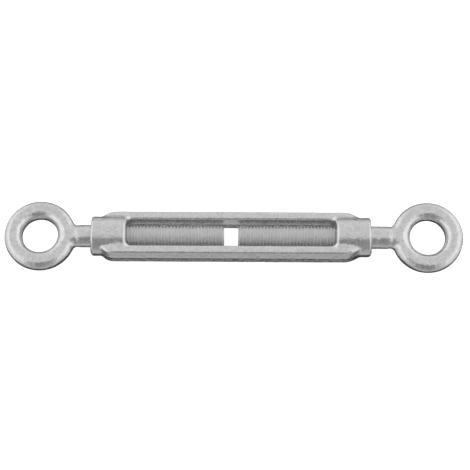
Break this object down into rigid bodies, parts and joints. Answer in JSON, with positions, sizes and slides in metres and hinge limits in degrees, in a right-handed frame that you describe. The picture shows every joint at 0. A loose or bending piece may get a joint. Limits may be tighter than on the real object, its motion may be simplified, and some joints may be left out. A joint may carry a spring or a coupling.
{
  "type": "rigging turnbuckle",
  "caption": "Open-body rigging turnbuckle: a forged two-rail body with a threaded eye bolt at each end, one right-hand and one left-hand thread.",
  "frame": {"origin": "middle of the body's length, on the common axis of the two screws", "axes": "+X along the screws towards the longer-necked eye bolt, the body's two rails lie at +Y and -Y, +Z square to the flat of the body"},
  "size_m": [0.205, 0.0316, 0.0176],
  "materials": {
    "forged_body": "zinc-coated forging, dull satin grey",
    "forged_bolt": "zinc-coated forging, dull satin grey"
  },
  "bodies": {
    "body": {"turnbuckle_body": "forged_body"},
    "left_carrier": {"left_shank_core": "forged_bolt"},
    "left_screw": {"left_eye_bolt": "forged_bolt"},
    "right_carrier": {"right_shank_core": "forged_bolt"},
    "right_screw": {"right_eye_bolt": "forged_bolt"}
  },
  "joints": [
    {"name": "left_travel", "type": "slide", "parent": "body", "child": "left_carrier", "axis": [-1, 0, 0], "range_m": [0, 0.042]},
    {"name": "left_turn", "type": "hinge", "parent": "left_carrier", "child": "left_screw", "pos_m": [0, 0, 0], "axis": [-1, 0, 0], "range_deg": [0, 10080]},
    {"name": "right_travel", "type": "slide", "parent": "body", "child": "right_carrier", "axis": [1, 0, 0], "range_m": [0, 0.042]},
    {"name": "right_turn", "type": "hinge", "parent": "right_carrier", "child": "right_screw", "pos_m": [0, 0, 0], "axis": [-1, 0, 0], "range_deg": [0, 10080]}
  ],
  "couplings": [
    {"joint": "left_travel", "follows": "left_turn", "m_per_rad": 0.00023873},
    {"joint": "right_travel", "follows": "right_turn", "m_per_rad": 0.00023873}
  ]
}
